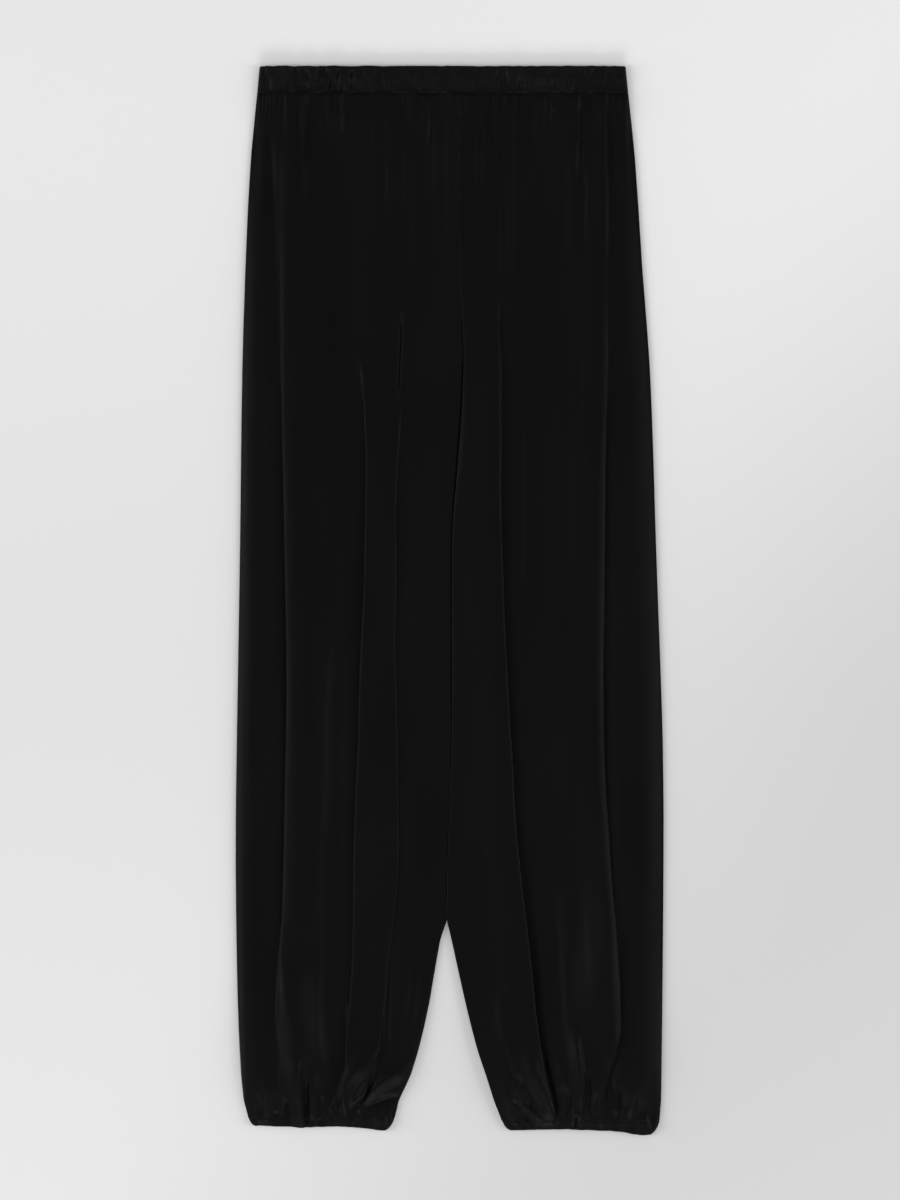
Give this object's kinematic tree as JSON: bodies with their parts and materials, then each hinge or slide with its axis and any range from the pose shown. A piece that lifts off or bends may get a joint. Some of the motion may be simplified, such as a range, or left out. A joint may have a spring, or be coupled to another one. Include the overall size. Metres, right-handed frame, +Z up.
{
  "type": "wide-leg trousers with elastic waist and hems, laid flat",
  "caption": "Wide-leg trousers laid flat, front up, gathered into an elastic waistband and narrow elastic hems, with long loose folds down both legs.",
  "frame": {"origin": "on the surface that the trousers lie on, below the middle of their outline", "axes": "+Z up from the surface, +Y from the hems to the waist, +X to the wearer's left; the front faces up"},
  "size_m": [0.4282, 1.069, 0.0115],
  "materials": {
    "crepe": "black fluid crepe, nearly matt with a faint sheen",
    "waistband": "the same black crepe, ruched over wide elastic",
    "hem": "the same black crepe, gathered over narrow elastic",
    "thread": "black sewing thread, slightly glossy"
  },
  "bodies": {
    "root": {"waistband_front": "waistband", "waistband_back": "waistband", "front_right": "crepe", "front_left": "crepe", "back_right": "crepe", "back_left": "crepe", "hem_front_right": "hem", "hem_back_right": "hem", "hem_front_left": "hem", "hem_back_left": "hem"}
  },
  "joints": []
}
